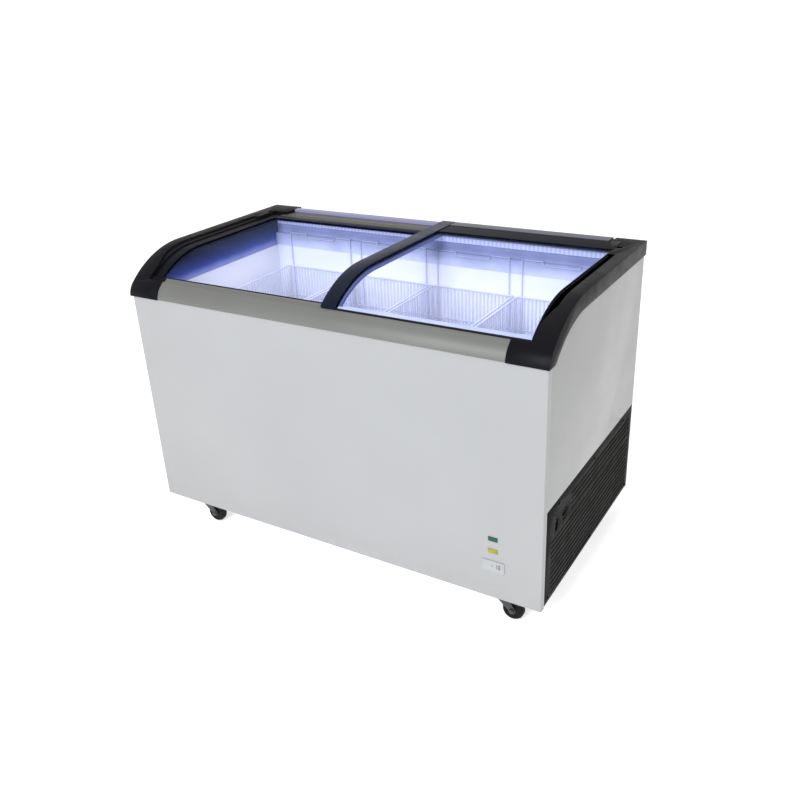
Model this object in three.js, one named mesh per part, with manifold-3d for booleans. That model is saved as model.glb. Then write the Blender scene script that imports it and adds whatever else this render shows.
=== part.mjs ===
// Chest freezer with a curved front, two sliding glass lids and hanging wire baskets.
// Millimetres, +Z up. The origin is on the floor, under the middle of the cabinet.
// Inside the cabinet group y runs back from the front panel's face and z up from the underside.
import * as THREE from 'three';
import { mergeVertices } from 'three/addons/utils/BufferGeometryUtils.js';
import Module from 'manifold-3d';

const wasm = await Module();
wasm.setup();

// ---------------------------------------------------------------- driving dimensions
const GAP = 0.3; // clearance between pieces that touch
const BODY_WIDTH = 1294;
const BODY_DEPTH = 692;
const HALF_WIDTH = BODY_WIDTH / 2;
const SHEET = 1.5; // outer steel sheet and liner sheet

// The end frames, rails and lids all follow one curve: a flat top, a crown arc, a tight nose.
const FRAME_TOP = 787;
const FRAME_HEM = 671; // lower edge at the front
const FRAME_OVERHANG = 3; // past the side panels
const FRAME_REAR = BODY_DEPTH + 7;
const CROWN_RADIUS = 300;
const CROWN_Y = 215; // where the flat top starts to fall
const CROWN_Z = FRAME_TOP - CROWN_RADIUS;
const CROWN_END = 43; // degrees of crown before the nose
const NOSE_RADIUS = 56;
const CROWN_STEPS = 14;
const SKIRT_DEPTH = 40;
const BED_DEPTH = 19.7; // thickness of the frame over the collar
const COVER_DEPTH = 12.7; // thickness of the frame over the side panels' top edges

// Openings between the frames and rails.
const THROAT_X = 589;
const THROAT_FRONT = 60;
const THROAT_REAR = 616;
const FRAME_INNER_X = 595;
const CORNER_X = 543; // inner ends of the black corner pieces
const COLLAR_BASE = 676;
const RAIL_BASE = 682;

// Storage tub.
const LINER_X = 585;
const LINER_FRONT = 70;
const LINER_REAR = 606;
const LINER_FLOOR = 62;
const LINER_TOP = 675.7;
const FLANGE = 14; // width of the liner's top flange
const LOW_TURNS = [110, 190, 270]; // heights of the evaporator's turns below and above the hump
const HIGH_TURNS = [400, 480, 560, 630];
const COIL_DEPTH = 8;
const COIL_HEIGHT = 12;
const STEP_X = 345; // side of the hump over the compressor
const STEP_TOP = 345;

// Compressor compartment, at the right-hand end.
const BAY_X = 400;
const BAY_TOP = 290;
const GRILLE_TOP = 285;
const GRILLE_BASE = 6;
const GRILLE_DEPTH = 8;
const FOLD = 18; // return of the front panel round the corner
const CORNER_RADIUS = 4; // of that panel's two upright edges

// Vents in the rear panel.
const VENT_X = [430, 610];
const VENT_BASE = 90;
const VENT_PITCH = 18;
const VENT_HEIGHT = 6;
const VENT_ROWS = 9;

// Lamps on the front, cord inlet at the rear, light bar above the rear hangers' reach when they are lifted.
const LAMP_X = [499, 525];
const LAMP_HEIGHT = 13;
const LAMP_GREEN_Z = 174;
const LAMP_YELLOW_Z = 138;
const DISPLAY_X = [482, 545];
const DISPLAY_Z = [83, 115];
const INLET_X = 590;
const INLET_Z = 45;
const LIGHT_HALF = 578;
const LIGHT_HEIGHT = [749, 765];

// Lids: depths are measured down from the frame's outer curve.
const GLASS = 4;
const UPPER_GLASS = 1; // depth of the upper lid's glass
const LOWER_GLASS = 13;
const UPPER_BED = 8; // underside of the upper lid
const LOWER_BED = 19;
const LOWER_CAP = 9.5; // top of the lower lid's bars
const UPPER_STOP = 39.1; // degrees at which the upper lid ends
const LOWER_STOP = 35.8;
const GLASS_REAR = 600;
const UPPER_REAR = 660;
const LOWER_REAR = 621.7;
const UPPER_SPAN = [14, 594];
const LOWER_SPAN = [-594, 62];
const HANDLE_WIDTH = 44;
const END_BAR_WIDTH = 34;
const MIDDLE_BAR_WIDTH = 28;
const PANE_LAP = 12; // how far a pane reaches into the bar at its side
const UPPER_RAIL_FRONT = 576;
const LOWER_RAIL_FRONT = 574;
const PANE_INSET = 0.35; // degrees from the end of a lid to the edge of its glass
const SEAL_LAP = 0.35; // degrees of glass that the front seal covers
const TRIM_WIDTH = 3;
const HOOK_REAR = 690; // the upper lid's rear edge hooks over the back lip
const HOOK_RIGHT = 559;

// Baskets.
const BASKET_COUNT = 4;
const BASKET_PITCH = 281;
const BASKET_SHIFT = 19.5;
const BASKET_WIDTH = 268;
const BASKET_FRONT = 76;
const BASKET_REAR = 600;
const BASKET_RIM = 608;
const BASKET_BASE = 402;
const REAR_LEDGE = 718;
const FRONT_LEDGE = 690;

// Casters.
const CASTER_HEIGHT = 85;
const CASTER_X = 520;
const CASTER_INSET = 48;
const WHEEL_RADIUS = 30;
const WHEEL_WIDTH = 22;
const TRAIL = 32;
const AXLE_Z = WHEEL_RADIUS - CASTER_HEIGHT;

// ---------------------------------------------------------------- materials
function finish(color, roughness, metalness = 0, opacity = 1) {
  const look = { color, roughness, metalness, opacity, transparent: opacity < 1 };
  return () => new THREE.MeshStandardMaterial(look);
}
const whiteSteel = finish(0xc9cdd0, 0.35, 0.1);
const blackPlastic = finish(0x24262b, 0.5);
const greyRail = finish(0x82817a, 0.45, 0.2);
const trackAluminium = finish(0xa9a9b8, 0.3, 0.8);
const foam = finish(0xd8c98f, 0.95);
const linerWhite = finish(0xe4e8f6, 0.4);
const collarGrey = finish(0x7c80a0, 0.5);
const glass = finish(0xdde6f2, 0.05, 0, 0.3);
const wireWhite = finish(0xe6e8f4, 0.4);
const copper = finish(0xb06a3c, 0.35, 0.9);
const steel = finish(0x9a9ea3, 0.4, 0.9);
const compressorBlack = finish(0x17181a, 0.45, 0.3);
const tyreBlack = finish(0x1b1b1c, 0.8);
const casterGrey = finish(0x8b8e92, 0.45, 0.7);
const greenLens = finish(0x1f9b5b, 0.25);
const yellowLens = finish(0xe0c02a, 0.25);
const displayWhite = finish(0xe8ebec, 0.3);
const lightDiffuser = finish(0xf4f6ff, 0.3);

// ---------------------------------------------------------------- geometry helpers
function toSolid(geometry) {
  const bare = geometry.clone();
  bare.deleteAttribute('normal');
  bare.deleteAttribute('uv');
  const merged = mergeVertices(bare, 1e-4);
  const mesh = new wasm.Mesh({
    numProp: 3,
    vertProperties: new Float32Array(merged.attributes.position.array),
    triVerts: new Uint32Array(merged.index.array),
  });
  return new wasm.Manifold(mesh);
}

function toGeometry(solid) {
  const mesh = solid.getMesh();
  const geometry = new THREE.BufferGeometry();
  geometry.setAttribute('position', new THREE.BufferAttribute(mesh.vertProperties, 3));
  geometry.setIndex(new THREE.BufferAttribute(mesh.triVerts, 1));
  return geometry;
}

function join(...geometries) {
  return toGeometry(geometries.map(toSolid).reduce((whole, piece) => whole.add(piece)));
}

function cut(base, ...tools) {
  return toGeometry(tools.map(toSolid).reduce((rest, tool) => rest.subtract(tool), toSolid(base)));
}

// A box between two corners, given as [low, high] along each axis.
function slab([x0, x1], [y0, y1], [z0, z1]) {
  const geometry = new THREE.BoxGeometry(x1 - x0, y1 - y0, z1 - z0);
  return geometry.translate((x0 + x1) / 2, (y0 + y1) / 2, (z0 + z1) / 2);
}

// A [low, high] span made longer at both ends.
function grown([low, high], by) {
  return [low - by, high + by];
}

function outline(points) {
  return new THREE.Shape(points.map(([a, b]) => new THREE.Vector2(a, b)));
}

function prism(shape, depth) {
  return new THREE.ExtrudeGeometry(shape, { depth, bevelEnabled: false, curveSegments: 8 });
}

const SECTION_TO_X = new THREE.Matrix4().set(0, 0, 1, 0, 1, 0, 0, 0, 0, 1, 0, 0, 0, 0, 0, 1);
const SECTION_TO_Y = new THREE.Matrix4().set(1, 0, 0, 0, 0, 0, -1, 0, 0, 1, 0, 0, 0, 0, 0, 1);

// A (y, z) outline drawn out along x.
function alongX(points, [x0, x1]) {
  return prism(outline(points), x1 - x0).applyMatrix4(SECTION_TO_X).translate(x0, 0, 0);
}

// An (x, z) outline drawn out along y.
function alongY(points, [y0, y1]) {
  return prism(outline(points), y1 - y0).applyMatrix4(SECTION_TO_Y).translate(0, y1, 0);
}

// An (x, y) outline drawn out along z.
function alongZ(points, [z0, z1]) {
  return prism(outline(points), z1 - z0).translate(0, 0, z0);
}

function arc([a, b], radius, from, to, steps) {
  return Array.from({ length: steps + 1 }, (_, i) => {
    const angle = THREE.MathUtils.degToRad(from + ((to - from) * i) / steps);
    return [a + radius * Math.cos(angle), b + radius * Math.sin(angle)];
  });
}

// A round bar along one axis: 'x', 'y' or 'z'.
function bar(axis, radius, [from, to], [a, b], sides = 16) {
  const geometry = new THREE.CylinderGeometry(radius, radius, to - from, sides);
  const middle = (from + to) / 2;
  if (axis === 'x') return geometry.rotateZ(Math.PI / 2).translate(middle, a, b);
  if (axis === 'y') return geometry.translate(a, middle, b);
  return geometry.rotateX(Math.PI / 2).translate(a, b, middle);
}

// A turned piece about the z axis, from [radius, height] points that start and end on the axis.
function turned(points, sides = 24) {
  const profile = points.map(([r, h]) => new THREE.Vector2(r, h));
  return new THREE.LatheGeometry(profile, sides).rotateX(Math.PI / 2);
}

// ---------------------------------------------------------------- the frame's curve
// Points [y, z] on the crown at a depth below the outer curve, from one angle to another.
function crown(depth, from, to, steps = CROWN_STEPS) {
  return arc([CROWN_Y, CROWN_Z], CROWN_RADIUS - depth, 90 + from, 90 + to, steps);
}

// Points [y, z] on the nose, from the hem up to the crown.
function nose(depth) {
  const reach = CROWN_RADIUS - NOSE_RADIUS;
  const turn = THREE.MathUtils.degToRad(CROWN_END);
  const centre = [CROWN_Y - reach * Math.sin(turn), CROWN_Z + reach * Math.cos(turn)];
  const radius = NOSE_RADIUS - depth;
  const hem = THREE.MathUtils.radToDeg(Math.acos((FRAME_HEM - centre[1]) / radius));
  return arc(centre, radius, 90 + hem, 90 + CROWN_END, 6);
}

// The crown angle at which a curve of some depth crosses a plane of constant y.
function crownAngle(depth, y) {
  return THREE.MathUtils.radToDeg(Math.asin((CROWN_Y - y) / (CROWN_RADIUS - depth)));
}

// A strip of constant thickness that follows the crown and the flat top back to y = rear.
function curvedStrip(top, bottom, stop, rear) {
  return [
    ...crown(top, stop, 0),
    [rear, FRAME_TOP - top],
    [rear, FRAME_TOP - bottom],
    ...crown(bottom, 0, stop),
  ];
}

// An outline that fills the space under the curve, from y = front to y = rear, above z = base.
function underCurve(front, rear, base, depth) {
  return [
    [front, base],
    ...crown(depth, crownAngle(depth, front), 0),
    [rear, FRAME_TOP - depth],
    [rear, base],
  ];
}

// ---------------------------------------------------------------- outer shell
function frontPanel() {
  const radius = CORNER_RADIUS;
  const side = (sign, inset) => {
    const edge = HALF_WIDTH - inset;
    const centre = [sign * (HALF_WIDTH - radius), radius];
    const bend = sign < 0 ? [180, 270] : [270, 360];
    const corner = arc(centre, radius - inset, ...bend, 6);
    return sign < 0 ? [[-edge, FOLD], ...corner] : [...corner, [edge, FOLD]];
  };
  const outer = [...side(-1, 0), ...side(1, 0)];
  const inner = [...side(-1, SHEET), ...side(1, SHEET)].reverse();
  const skin = alongZ([...outer, ...inner], [0, RAIL_BASE - GAP]);
  const through = [-5, 5];
  const lampHole = (z) => slab(grown(LAMP_X, GAP), through, grown([z, z + LAMP_HEIGHT], GAP));
  const displayHole = slab(grown(DISPLAY_X, -3), through, grown(DISPLAY_Z, -3));
  return cut(skin, lampHole(LAMP_GREEN_Z), lampHole(LAMP_YELLOW_Z), displayHole);
}

function sidePanel(base) {
  const points = underCurve(FOLD + GAP, BODY_DEPTH - SHEET - GAP, base, COVER_DEPTH + GAP);
  return alongX(points, [HALF_WIDTH - SHEET, HALF_WIDTH]);
}

function rearPanel() {
  const back = [BODY_DEPTH - SHEET, BODY_DEPTH];
  const skin = slab([-HALF_WIDTH, HALF_WIDTH], back, [0, FRAME_TOP - BED_DEPTH - 1]);
  const through = [BODY_DEPTH - 5, BODY_DEPTH + 5];
  const cutters = [bar('y', 8, through, [INLET_X, INLET_Z])];
  for (let row = 0; row < VENT_ROWS; row += 1) {
    const z = VENT_BASE + row * VENT_PITCH;
    cutters.push(slab(VENT_X, through, [z, z + VENT_HEIGHT]));
  }
  return cut(skin, ...cutters);
}

function basePlate() {
  const half = HALF_WIDTH - SHEET - 2 * GAP;
  const plate = slab([-half, half], [SHEET + GAP, BODY_DEPTH - SHEET - GAP], [0, SHEET]);
  return cut(plate, ...cornerNotches());
}

// Room for the rounded upright edges of the front panel.
function cornerNotches() {
  return [-1, 1].map((side) => {
    const x = side * (HALF_WIDTH - CORNER_RADIUS / 2);
    return slab([x - 6, x + 6], [-5, CORNER_RADIUS], [-5, FRAME_TOP]);
  });
}

// ---------------------------------------------------------------- insulation and tub
// The tub's outline in (x, z), grown by some thickness all round.
function tubOutline(grow, top) {
  return [
    [-LINER_X - grow, LINER_FLOOR - grow],
    [STEP_X + grow, LINER_FLOOR - grow],
    [STEP_X + grow, STEP_TOP - grow],
    [LINER_X + grow, STEP_TOP - grow],
    [LINER_X + grow, top],
    [-LINER_X - grow, top],
  ];
}

function tubBlock(grow, top) {
  return alongY(tubOutline(grow, top), [LINER_FRONT - grow, LINER_REAR + grow]);
}

function innerLiner() {
  const across = grown([-LINER_X, LINER_X], FLANGE);
  const along = grown([LINER_FRONT, LINER_REAR], FLANGE);
  const flange = slab(across, along, [LINER_TOP - SHEET, LINER_TOP]);
  return cut(join(tubBlock(SHEET, LINER_TOP), flange), tubBlock(0, LINER_TOP + 10));
}

// One turn of the evaporator's flat tube, round the tub at height z.
function coilTurn(z, right, grow) {
  const inner = SHEET + GAP - grow;
  const outer = SHEET + GAP + COIL_DEPTH + grow;
  const height = grown([z, z + COIL_HEIGHT], grow);
  const ring = slab([-LINER_X - outer, right + outer], [LINER_FRONT - outer, LINER_REAR + outer], height);
  const hole = slab([-LINER_X - inner, right + inner], [LINER_FRONT - inner, LINER_REAR + inner], height);
  return cut(ring, hole.scale(1, 1, 1.5).translate(0, 0, -0.5 * (z + COIL_HEIGHT / 2)));
}

function evaporatorCoil(grow = 0) {
  const low = LOW_TURNS.map((z) => coilTurn(z, STEP_X, grow));
  const high = HIGH_TURNS.map((z) => coilTurn(z, LINER_X, grow));
  const edge = -LINER_X - SHEET - GAP;
  const riser = slab(grown([edge - COIL_DEPTH, edge], grow), grown([300, 312], grow), [110, 640]);
  return join(...low, ...high, riser);
}

function foamInsulation() {
  const half = HALF_WIDTH - SHEET - 2 * GAP;
  const depth = [SHEET + GAP, BODY_DEPTH - SHEET - GAP];
  const block = slab([-half, half], depth, [SHEET + GAP, LINER_TOP - SHEET - GAP]);
  const bay = slab([BAY_X, half + 5], [-5, BODY_DEPTH + 5], [-5, BAY_TOP]);
  const tub = tubBlock(SHEET + GAP, LINER_TOP + 10);
  return cut(block, bay, tub, evaporatorCoil(GAP), ...cornerNotches());
}

function throatCollar() {
  const half = HALF_WIDTH - SHEET - 2 * GAP;
  const rear = BODY_DEPTH - SHEET - GAP;
  const block = join(
    alongX(underCurve(THROAT_FRONT + 4, rear, COLLAR_BASE, BED_DEPTH + GAP), [-half, half]),
    cut(slab([-half, half], [SHEET + GAP, THROAT_FRONT + 5], [COLLAR_BASE, RAIL_BASE - GAP]), ...cornerNotches())
  );
  const tall = [COLLAR_BASE - 10, FRAME_TOP + 10];
  const throat = slab([-THROAT_X, THROAT_X], [THROAT_FRONT, THROAT_REAR], tall);
  const inside = [-THROAT_X - 2, THROAT_X + 2];
  const rearLedge = slab(inside, [LINER_REAR - 2, THROAT_REAR + 5], [COLLAR_BASE, REAR_LEDGE]);
  const frontLedge = slab(inside, [THROAT_FRONT - 1, LINER_FRONT + 2], [COLLAR_BASE, FRONT_LEDGE]);
  return join(cut(block, throat), rearLedge, frontLedge);
}

function lightBar() {
  return slab([-LIGHT_HALF, LIGHT_HALF], [THROAT_REAR - 9, THROAT_REAR - GAP], LIGHT_HEIGHT);
}

// ---------------------------------------------------------------- rails and end frames
const UPPER_LEDGE = UPPER_BED + 0.5;
const LOWER_LEDGE = LOWER_BED + 0.5;

// Front rail section: a rounded nose outside, and two steps inside that the lids rest on.
function frontRailSection(depth) {
  const riser = THROAT_FRONT - 1.5;
  return [
    ...nose(depth),
    ...crown(depth, CROWN_END - 0.5, UPPER_STOP + 0.2, 2),
    ...crown(UPPER_LEDGE, UPPER_STOP + 0.2, LOWER_STOP + 0.3, 2),
    ...crown(LOWER_LEDGE, LOWER_STOP + 0.3, crownAngle(LOWER_LEDGE, riser), 2),
    [riser, RAIL_BASE],
    [-GAP, RAIL_BASE],
    [-GAP, FRAME_HEM],
  ];
}

function frontRail() {
  return alongX(frontRailSection(2), [-CORNER_X + GAP, CORNER_X - GAP]);
}

const TRACK_FLOOR = FRAME_TOP - UPPER_BED - GAP;
const TRACK_SPLIT = 642;

// Rear rail section: a low step for the lower lid's edge, a groove for the track, a back lip.
function rearRail() {
  const bed = FRAME_TOP - BED_DEPTH;
  const points = [
    [LOWER_REAR + 0.6, bed],
    [BODY_DEPTH, bed],
    [BODY_DEPTH, FRAME_TOP - 9],
    [BODY_DEPTH - 8, FRAME_TOP],
    [UPPER_REAR + 2, FRAME_TOP],
    [UPPER_REAR + 2, TRACK_FLOOR - 3],
    [TRACK_SPLIT, TRACK_FLOOR - 3],
    [TRACK_SPLIT, TRACK_FLOOR],
    [LOWER_REAR + 0.6, TRACK_FLOOR],
  ];
  return alongX(points, [-CORNER_X + GAP, CORNER_X + 20 - GAP]);
}

function rearTrack() {
  const across = [TRACK_SPLIT + GAP, UPPER_REAR + 2 - GAP];
  return slab([-CORNER_X + GAP, CORNER_X + 20 - GAP], across, [TRACK_FLOOR - 3 + GAP, TRACK_FLOOR]);
}

// Full end frame for the right side; the left side is its mirror image apart from the rear cap
// and the ledge, which carries the upper lid's right edge.
function endFrame(capFront, capInner, extras = []) {
  const bed = FRAME_TOP - BED_DEPTH;
  const skirt = FRAME_TOP - SKIRT_DEPTH;
  const outer = [...nose(0), ...crown(0, CROWN_END - 1, 0), [FRAME_REAR, FRAME_TOP], [FRAME_REAR, skirt]];
  const hemAngle = THREE.MathUtils.radToDeg(
    Math.acos((FRAME_HEM - CROWN_Z) / (CROWN_RADIUS - SKIRT_DEPTH))
  );
  const riser = THROAT_FRONT - 1.5;
  const beam = [
    ...outer,
    [BODY_DEPTH + GAP, skirt],
    [BODY_DEPTH + GAP, bed],
    ...crown(BED_DEPTH, 0, crownAngle(BED_DEPTH, riser)),
    [riser, RAIL_BASE],
    [-GAP, RAIL_BASE],
    [-GAP, FRAME_HEM],
  ];
  const cover = [
    ...outer,
    [BODY_DEPTH + GAP, skirt],
    [BODY_DEPTH + GAP, FRAME_TOP - COVER_DEPTH],
    ...crown(COVER_DEPTH, 0, CROWN_END),
    [8, RAIL_BASE],
    [-GAP, RAIL_BASE],
    [-GAP, FRAME_HEM],
  ];
  const apron = [...outer, ...crown(SKIRT_DEPTH, 0, hemAngle)];
  const cap = [
    [capFront, bed],
    [BODY_DEPTH + GAP, bed],
    [BODY_DEPTH + GAP, skirt],
    [FRAME_REAR, skirt],
    [FRAME_REAR, FRAME_TOP],
    [capFront, FRAME_TOP],
  ];
  const inner = FRAME_INNER_X + GAP;
  const panelInside = HALF_WIDTH - SHEET - GAP;
  const panelOutside = HALF_WIDTH + GAP;
  const lap = 0.5; // neighbouring slices run into each other, so that they join
  const whole = join(
    alongX(beam, [inner, panelInside]),
    alongX(cover, [panelInside - lap, panelOutside + lap]),
    alongX(apron, [panelOutside, HALF_WIDTH + FRAME_OVERHANG]),
    alongX(frontRailSection(0), [CORNER_X, inner + lap]),
    alongX(cap, [capInner, inner + lap]),
    ...extras
  );
  return cut(whole, frameGroove(), rearPocket());
}

// A rib under the upper lid's right edge.
function upperLedge() {
  const front = crownAngle(UPPER_LEDGE, THROAT_FRONT - 5);
  return alongX(curvedStrip(UPPER_LEDGE, BED_DEPTH, front, UPPER_REAR + 3), [THROAT_X, FRAME_INNER_X + 1]);
}

// The long groove beside the glass: it fades in along the curve and ends in a round tip.
function frameGroove() {
  const depth = 6;
  const [x0, x1] = [FRAME_INNER_X - 2, FRAME_INNER_X + 19];
  const radius = (x1 - x0) / 2;
  const tip = arc([(x0 + x1) / 2, 535 - radius], radius, 0, 180, 10);
  const plan = alongZ([[x0, 60], [x1, 130], ...tip], [FRAME_TOP - 120, FRAME_TOP + 5]);
  const roof = curvedStrip(-20, depth, crownAngle(depth, 62), 700);
  return toGeometry(toSolid(plan).intersect(toSolid(alongX(roof, [x0 - 5, x1 + 5]))));
}

function rearPocket() {
  const radius = 9;
  const [x0, x1] = [FRAME_INNER_X - 10, FRAME_INNER_X + 16];
  const plan = [
    [x0, 596],
    ...arc([x1 - radius, 596 + radius], radius, 270, 450, 10),
    [x0, 596 + 2 * radius],
  ];
  return alongZ(plan, [FRAME_TOP - 6, FRAME_TOP + 5]);
}

function mirrored(geometry) {
  return toGeometry(toSolid(geometry).mirror([1, 0, 0]));
}

// ---------------------------------------------------------------- sliding lids
function glassPane(depth, [x0, x1], stop) {
  return alongX(curvedStrip(depth, depth + GLASS, stop, GLASS_REAR), [x0, x1]);
}

// Clearance shape for a pane's edge, cut out of whatever holds it.
function glassPocket(depth, span, stop) {
  const points = curvedStrip(depth - GAP, depth + GLASS + GAP, stop + 0.06, GLASS_REAR + GAP);
  return alongX(points, span);
}

function lidBar(top, bottom, stop, rear, span, pocket) {
  return cut(alongX(curvedStrip(top, bottom, stop, rear), span), pocket);
}

function lidFrontStrip(top, bottom, from, stop, span, pocket) {
  const points = [...crown(top, stop, from, 3), ...crown(bottom, from, stop, 3)];
  return cut(alongX(points, span), pocket);
}

function lidRearStrip(top, bottom, [front, rear], span, pocket) {
  return cut(slab(span, [front, rear], [FRAME_TOP - bottom, FRAME_TOP - top]), pocket);
}

// The part of the upper lid's rear edge that reaches over the back lip.
function rearHook(span, height) {
  return slab(span, [UPPER_REAR - 8, HOOK_REAR], [FRAME_TOP + GAP, FRAME_TOP + height]);
}

function upperLid() {
  const [left, right] = UPPER_SPAN;
  const edge = right - TRIM_WIDTH;
  const inner = left + HANDLE_WIDTH + GAP;
  const paneStop = UPPER_STOP - PANE_INSET;
  const pane = [left + HANDLE_WIDTH - PANE_LAP, edge - GAP];
  const pocket = glassPocket(UPPER_GLASS, [pane[0] - GAP, edge], paneStop);
  const between = [inner, edge - GAP];
  const bar = lidBar(-3, UPPER_BED, UPPER_STOP, UPPER_REAR, [left, inner - GAP], pocket);
  const rail = lidRearStrip(-1, UPPER_BED, [UPPER_RAIL_FRONT, UPPER_REAR], between, pocket);
  return {
    glass: glassPane(UPPER_GLASS, pane, paneStop),
    handle_bar: join(bar, rearHook([left, inner - GAP], 3)),
    edge_trim: alongX(curvedStrip(0, 6, UPPER_STOP, UPPER_REAR), [edge, right]),
    front_seal: lidFrontStrip(0, 6, paneStop - SEAL_LAP, UPPER_STOP, between, pocket),
    rear_rail: join(rail, rearHook([inner, HOOK_RIGHT], 2.3)),
  };
}

function lowerLid() {
  const [left, right] = LOWER_SPAN;
  const paneStop = LOWER_STOP - PANE_INSET;
  const endBar = [left, left + END_BAR_WIDTH];
  const middleBar = [right - MIDDLE_BAR_WIDTH, right];
  const pane = [endBar[1] - PANE_LAP, middleBar[0] + PANE_LAP];
  const pocket = glassPocket(LOWER_GLASS, grown(pane, GAP), paneStop);
  const between = [endBar[1] + GAP, middleBar[0] - GAP];
  return {
    glass: glassPane(LOWER_GLASS, pane, paneStop),
    end_bar: lidBar(LOWER_CAP, LOWER_BED, LOWER_STOP, LOWER_REAR, endBar, pocket),
    middle_bar: lidBar(LOWER_CAP, LOWER_BED, LOWER_STOP, LOWER_REAR, middleBar, pocket),
    front_seal: lidFrontStrip(LOWER_CAP + 1.5, LOWER_BED, paneStop - SEAL_LAP, LOWER_STOP, between, pocket),
    rear_rail: lidRearStrip(LOWER_CAP, LOWER_BED, [LOWER_RAIL_FRONT, LOWER_REAR], between, pocket),
  };
}

// ---------------------------------------------------------------- wire baskets
// A hanger: two posts, a loop laid on the ledge, and a dropped middle part to lift it by.
function basketHanger(wall, ledgeY, ledge) {
  const wire = 4;
  const half = wire / 2;
  const post = 120;
  const grip = 56;
  const top = ledge + GAP;
  const near = [Math.min(wall, ledgeY) - half, Math.max(wall, ledgeY) + half];
  const pieces = [slab([-grip, grip], [wall - half, wall + half], [top - wire - 5, top - 5])];
  for (const side of [-1, 1]) {
    const across = (from, to) => (side < 0 ? [-to, -from] : [from, to]);
    pieces.push(
      slab(across(post - half, post + half), [wall - half, wall + half], [BASKET_BASE, top + wire]),
      slab(across(post - half, post + half), near, [top, top + wire]),
      slab(across(grip - half, post + half), [ledgeY - half, ledgeY + half], [top, top + wire]),
      slab(across(grip - half, grip + half), near, [top, top + wire]),
      slab(across(grip - half, grip + half), [wall - half, wall + half], [top - wire - 5, top + wire])
    );
  }
  return pieces;
}

function basket() {
  const half = BASKET_WIDTH / 2;
  const thin = 1.6;
  const thick = 2.4;
  const pieces = [];
  const hoop = (z, r) => {
    const ends = [BASKET_FRONT - r, BASKET_REAR + r];
    pieces.push(
      slab([-half - r, -half + r], ends, [z - r, z + r]),
      slab([half - r, half + r], ends, [z - r, z + r]),
      slab([-half - r, half + r], [BASKET_FRONT - r, BASKET_FRONT + r], [z - r, z + r]),
      slab([-half - r, half + r], [BASKET_REAR - r, BASKET_REAR + r], [z - r, z + r])
    );
  };
  hoop(BASKET_RIM, thick);
  hoop(BASKET_BASE, thick);
  const height = [BASKET_BASE - thin, BASKET_RIM];
  const across = 3;
  for (let i = 1; i < across; i += 1) {
    const x = -half + (BASKET_WIDTH * i) / across;
    pieces.push(slab([x - thin, x + thin], [BASKET_FRONT, BASKET_REAR], [BASKET_BASE - thin, BASKET_BASE + thin]));
    pieces.push(slab([x - thin, x + thin], [BASKET_FRONT - thin, BASKET_FRONT + thin], height));
    pieces.push(slab([x - thin, x + thin], [BASKET_REAR - thin, BASKET_REAR + thin], height));
  }
  const along = 6;
  for (let i = 1; i < along; i += 1) {
    const y = BASKET_FRONT + ((BASKET_REAR - BASKET_FRONT) * i) / along;
    pieces.push(slab([-half, half], [y - thin, y + thin], [BASKET_BASE - thin, BASKET_BASE + thin]));
    pieces.push(slab([-half - thin, -half + thin], [y - thin, y + thin], height));
    pieces.push(slab([half - thin, half + thin], [y - thin, y + thin], height));
  }
  pieces.push(...basketHanger(BASKET_REAR, THROAT_REAR - 7, REAR_LEDGE));
  pieces.push(...basketHanger(BASKET_FRONT, THROAT_FRONT + 7, FRONT_LEDGE));
  return join(...pieces);
}

// ---------------------------------------------------------------- side grille and controls
const DIAL = [142, 217]; // y, z of the thermostat dial
const SWITCH = [84, 217]; // y, z of the rocker switch
const SCREWS = [[100, 270], [360, 268], [612, 268], [40, 20], [360, 13], [670, 20]];

const LOUVRE_PITCH = 15.7;
// The long louvres, and the shorter ones behind the controls.
const LOUVRE_BLOCKS = [
  { front: 54, base: 21, rows: 11 },
  { front: 186, base: 203.5, rows: 4 },
];

function louvre(front, z) {
  const points = [
    [HALF_WIDTH - GRILLE_DEPTH - 1, z + 4],
    [HALF_WIDTH + 1, z - 4],
    [HALF_WIDTH + 1, z + 2],
    [HALF_WIDTH - GRILLE_DEPTH - 1, z + 10],
  ];
  return alongY(points, [front, 668]);
}

function sideGrille() {
  const front = FOLD + 2 * GAP;
  const rear = BODY_DEPTH - SHEET - 2 * GAP;
  const face = [
    [front, GRILLE_BASE],
    [rear, GRILLE_BASE],
    [rear, GRILLE_TOP],
    [front + 8, GRILLE_TOP],
    [front, GRILLE_TOP - 8],
  ];
  const inside = HALF_WIDTH - GRILLE_DEPTH;
  const plate = alongX(face, [inside, HALF_WIDTH]);
  const through = [inside - 2, HALF_WIDTH + 2];
  const slot = [
    ...arc([SWITCH[0], SWITCH[1] + 9], 9, 0, 180, 8),
    ...arc([SWITCH[0], SWITCH[1] - 9], 9, 180, 360, 8),
  ];
  const cutters = [bar('x', 17.5, through, DIAL, 28), alongX(slot, through)];
  for (const block of LOUVRE_BLOCKS) {
    for (let row = 0; row < block.rows; row += 1) {
      cutters.push(louvre(block.front, block.base + row * LOUVRE_PITCH));
    }
  }
  return join(cut(plate, ...cutters), ...SCREWS.map(screwHead));
}

function screwHead([y, z]) {
  const dome = turned([[0, -1], [4, -1], [4, 0.5], [3.2, 1.6], [1.5, 2.3], [0, 2.4]], 12);
  return dome.rotateY(Math.PI / 2).translate(HALF_WIDTH, y, z);
}

function thermostatKnob() {
  const disc = turned([[0, -6], [7, -6], [7, 0], [15, 0], [15, 5], [13.5, 6.5], [0, 6.5]], 28);
  const ridge = slab([-2.4, 2.4], [-13, 13], [6, 9.5]);
  return join(disc, ridge).rotateY(Math.PI / 2);
}

function thermostatBody() {
  const block = slab([-30, -7.5], [-21, 21], [-25, 25]);
  return cut(join(block, bar('x', 16.9, [-8, -1.5], [0, 0], 28)), bar('x', 8, [-15, 0], [0, 0], 20));
}

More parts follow.
